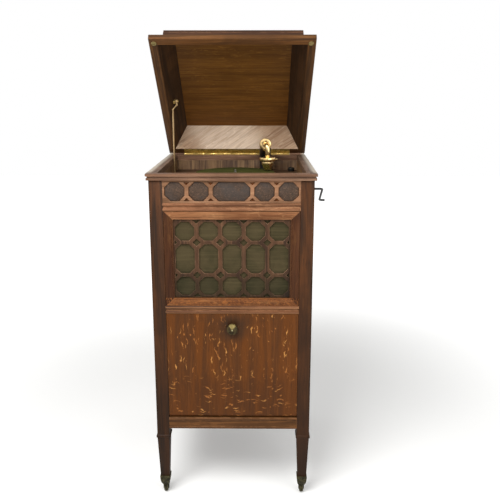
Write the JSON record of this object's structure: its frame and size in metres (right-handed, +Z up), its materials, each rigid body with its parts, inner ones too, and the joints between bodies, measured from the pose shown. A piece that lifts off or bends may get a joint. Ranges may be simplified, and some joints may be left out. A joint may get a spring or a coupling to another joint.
{
  "type": "gramophone",
  "caption": "Upright cabinet gramophone with a hinged coffered lid, spring-driven turntable, swinging sound arm, fretted grille, drop-front record compartment and casters.",
  "frame": {"origin": "middle of the object's box on the floor, with the lid open and the crank in place", "axes": "+X to the crank's side, +Y to the back, +Z up"},
  "size_m": [0.5266, 0.5654, 1.3787],
  "materials": {
    "oak_dark": "satin",
    "oak": "satin",
    "oak_light": "satin",
    "plaque": "satin",
    "brass": "worn polish",
    "steel": "satin",
    "iron": "black japan",
    "bronze": "dark, oxidised",
    "cloth": "matt",
    "felt": "matt"
  },
  "bodies": {
    "cabinet": {"front_posts": "oak_dark", "back_posts": "oak_dark", "left_side_panel": "oak_dark", "right_side_panel": "oak_dark", "back_panel": "oak_dark", "bottom_board": "oak_dark", "front_bottom_rail": "oak_light", "horn_shelf": "oak_dark", "record_dividers": "oak_light", "top_rim": "oak", "well_lining": "oak", "motor_board": "oak", "frieze_board": "oak_light", "frieze_fret": "oak_light", "frieze_plaques": "plaque", "mid_moulding": "oak_light", "low_moulding": "oak_light", "door_pivots": "steel", "rim_hinge_leaf": "brass", "stay_guide": "brass", "motor_frame": "iron", "crank_escutcheon": "brass", "horn": "iron", "neck_collar": "brass", "caster_ferrules": "bronze"},
    "grille": {"grille_frame": "oak_light", "grille_fret": "oak", "grille_cloth": "cloth"},
    "door": {"drop_door": "oak", "door_knob": "brass"},
    "lid": {"lid_walls": "oak", "lid_top_board": "oak", "lid_bumpers": "brass", "lid_hinge_leaf": "brass", "stay_bracket": "brass"},
    "lid_stay": {"stay_rod": "brass"},
    "turntable": {"turntable": "steel", "turntable_felt": "felt", "spindle": "steel"},
    "barrel": {"spring_barrel": "steel"},
    "arbor": {"barrel_arbor": "steel"},
    "winding": {"winding_shaft": "steel", "crank": "iron"},
    "governor": {"governor": "brass"},
    "start_lever": {"start_lever": "brass"},
    "speed_knob": {"speed_knob": "iron"},
    "sound_arm": {"horn_neck": "iron", "neck_nut": "brass"},
    "sound_box": {"sound_elbow": "brass", "sound_box": "brass"},
    "floating_weight": {"floating_weight": "brass"},
    "front_left_caster": {"front_left_yoke": "bronze"},
    "front_left_roller": {"front_left_wheel": "bronze"},
    "front_right_caster": {"front_right_yoke": "bronze"},
    "front_right_roller": {"front_right_wheel": "bronze"},
    "back_left_caster": {"back_left_yoke": "bronze"},
    "back_left_roller": {"back_left_wheel": "bronze"},
    "back_right_caster": {"back_right_yoke": "bronze"},
    "back_right_roller": {"back_right_wheel": "bronze"}
  },
  "joints": [
    {"name": "lid_hinge", "type": "hinge", "parent": "cabinet", "child": "lid", "pos_m": [-0.02825, 0.26457, 0.991], "axis": [1, 0, 0], "range_deg": [0, 42.1]},
    {"name": "stay_pivot", "type": "hinge", "parent": "lid", "child": "lid_stay", "pos_m": [-0.21575, 0.10661, 1.17416], "axis": [1, 0, 0], "range_deg": [-20, 1]},
    {"name": "door_drop", "type": "hinge", "parent": "cabinet", "child": "door", "pos_m": [-0.02825, -0.25173, 0.272], "axis": [1, 0, 0], "range_deg": [0, 90]},
    {"name": "grille_pull", "type": "slide", "parent": "cabinet", "child": "grille", "axis": [0, -1, 0], "range_m": [0, 0.08]},
    {"name": "turntable_spin", "type": "hinge", "parent": "cabinet", "child": "turntable", "pos_m": [-0.02825, 0.06277, 0.94], "axis": [0, 0, 1], "continuous": true},
    {"name": "barrel_spin", "type": "hinge", "parent": "cabinet", "child": "barrel", "pos_m": [-0.05461, -0.00423, 0.925], "axis": [0, 0, 1], "continuous": true},
    {"name": "governor_spin", "type": "hinge", "parent": "cabinet", "child": "governor", "pos_m": [-0.02825, 0.08377, 0.8755], "axis": [1, 0, 0], "continuous": true},
    {"name": "crank_turn", "type": "hinge", "parent": "cabinet", "child": "winding", "pos_m": [0.19925, -0.00423, 0.91], "axis": [1, 0, 0], "continuous": true},
    {"name": "arbor_turn", "type": "hinge", "parent": "cabinet", "child": "arbor", "pos_m": [-0.05461, -0.00423, 0.91], "axis": [0, 0, 1], "continuous": true},
    {"name": "start_slide", "type": "slide", "parent": "cabinet", "child": "start_lever", "axis": [1, 0, 0], "range_m": [0, 0.014]},
    {"name": "speed_turn", "type": "hinge", "parent": "cabinet", "child": "speed_knob", "pos_m": [0.15675, 0.19577, 0.94], "axis": [0, 0, 1], "range_deg": [-120, 120]},
    {"name": "arm_swing", "type": "hinge", "parent": "cabinet", "child": "sound_arm", "pos_m": [0.06875, 0.20877, 0.94], "axis": [0, 0, 1], "range_deg": [-36, 8]},
    {"name": "sound_box_turn", "type": "hinge", "parent": "sound_arm", "child": "sound_box", "pos_m": [0.06875, 0.12077, 1.037], "axis": [0, 1, 0], "range_deg": [-100, 0]},
    {"name": "weight_hinge", "type": "hinge", "parent": "sound_box", "child": "floating_weight", "pos_m": [0.07511, 0.12029, 0.981], "axis": [1, 0, 0], "range_deg": [-3, 0]},
    {"name": "front_left_swivel", "type": "hinge", "parent": "cabinet", "child": "front_left_caster", "pos_m": [-0.23725, -0.24323, 0.036], "axis": [0, 0, 1], "continuous": true},
    {"name": "front_left_roll", "type": "hinge", "parent": "front_left_caster", "child": "front_left_roller", "pos_m": [-0.23725, -0.23723, 0.014], "axis": [1, 0, 0], "continuous": true},
    {"name": "front_right_swivel", "type": "hinge", "parent": "cabinet", "child": "front_right_caster", "pos_m": [0.18075, -0.24323, 0.036], "axis": [0, 0, 1], "continuous": true},
    {"name": "front_right_roll", "type": "hinge", "parent": "front_right_caster", "child": "front_right_roller", "pos_m": [0.18075, -0.23723, 0.014], "axis": [1, 0, 0], "continuous": true},
    {"name": "back_left_swivel", "type": "hinge", "parent": "cabinet", "child": "back_left_caster", "pos_m": [-0.23725, 0.24227, 0.036], "axis": [0, 0, 1], "continuous": true},
    {"name": "back_left_roll", "type": "hinge", "parent": "back_left_caster", "child": "back_left_roller", "pos_m": [-0.23725, 0.24827, 0.014], "axis": [1, 0, 0], "continuous": true},
    {"name": "back_right_swivel", "type": "hinge", "parent": "cabinet", "child": "back_right_caster", "pos_m": [0.18075, 0.24227, 0.036], "axis": [0, 0, 1], "continuous": true},
    {"name": "back_right_roll", "type": "hinge", "parent": "back_right_caster", "child": "back_right_roller", "pos_m": [0.18075, 0.24827, 0.014], "axis": [1, 0, 0], "continuous": true}
  ],
  "couplings": [
    {"joint": "stay_pivot", "follows": "lid_hinge", "ratio": -0.3885},
    {"joint": "barrel_spin", "follows": "turntable_spin", "ratio": -0.2},
    {"joint": "governor_spin", "follows": "turntable_spin", "ratio": 8},
    {"joint": "arbor_turn", "follows": "crank_turn", "ratio": 0.33333}
  ]
}
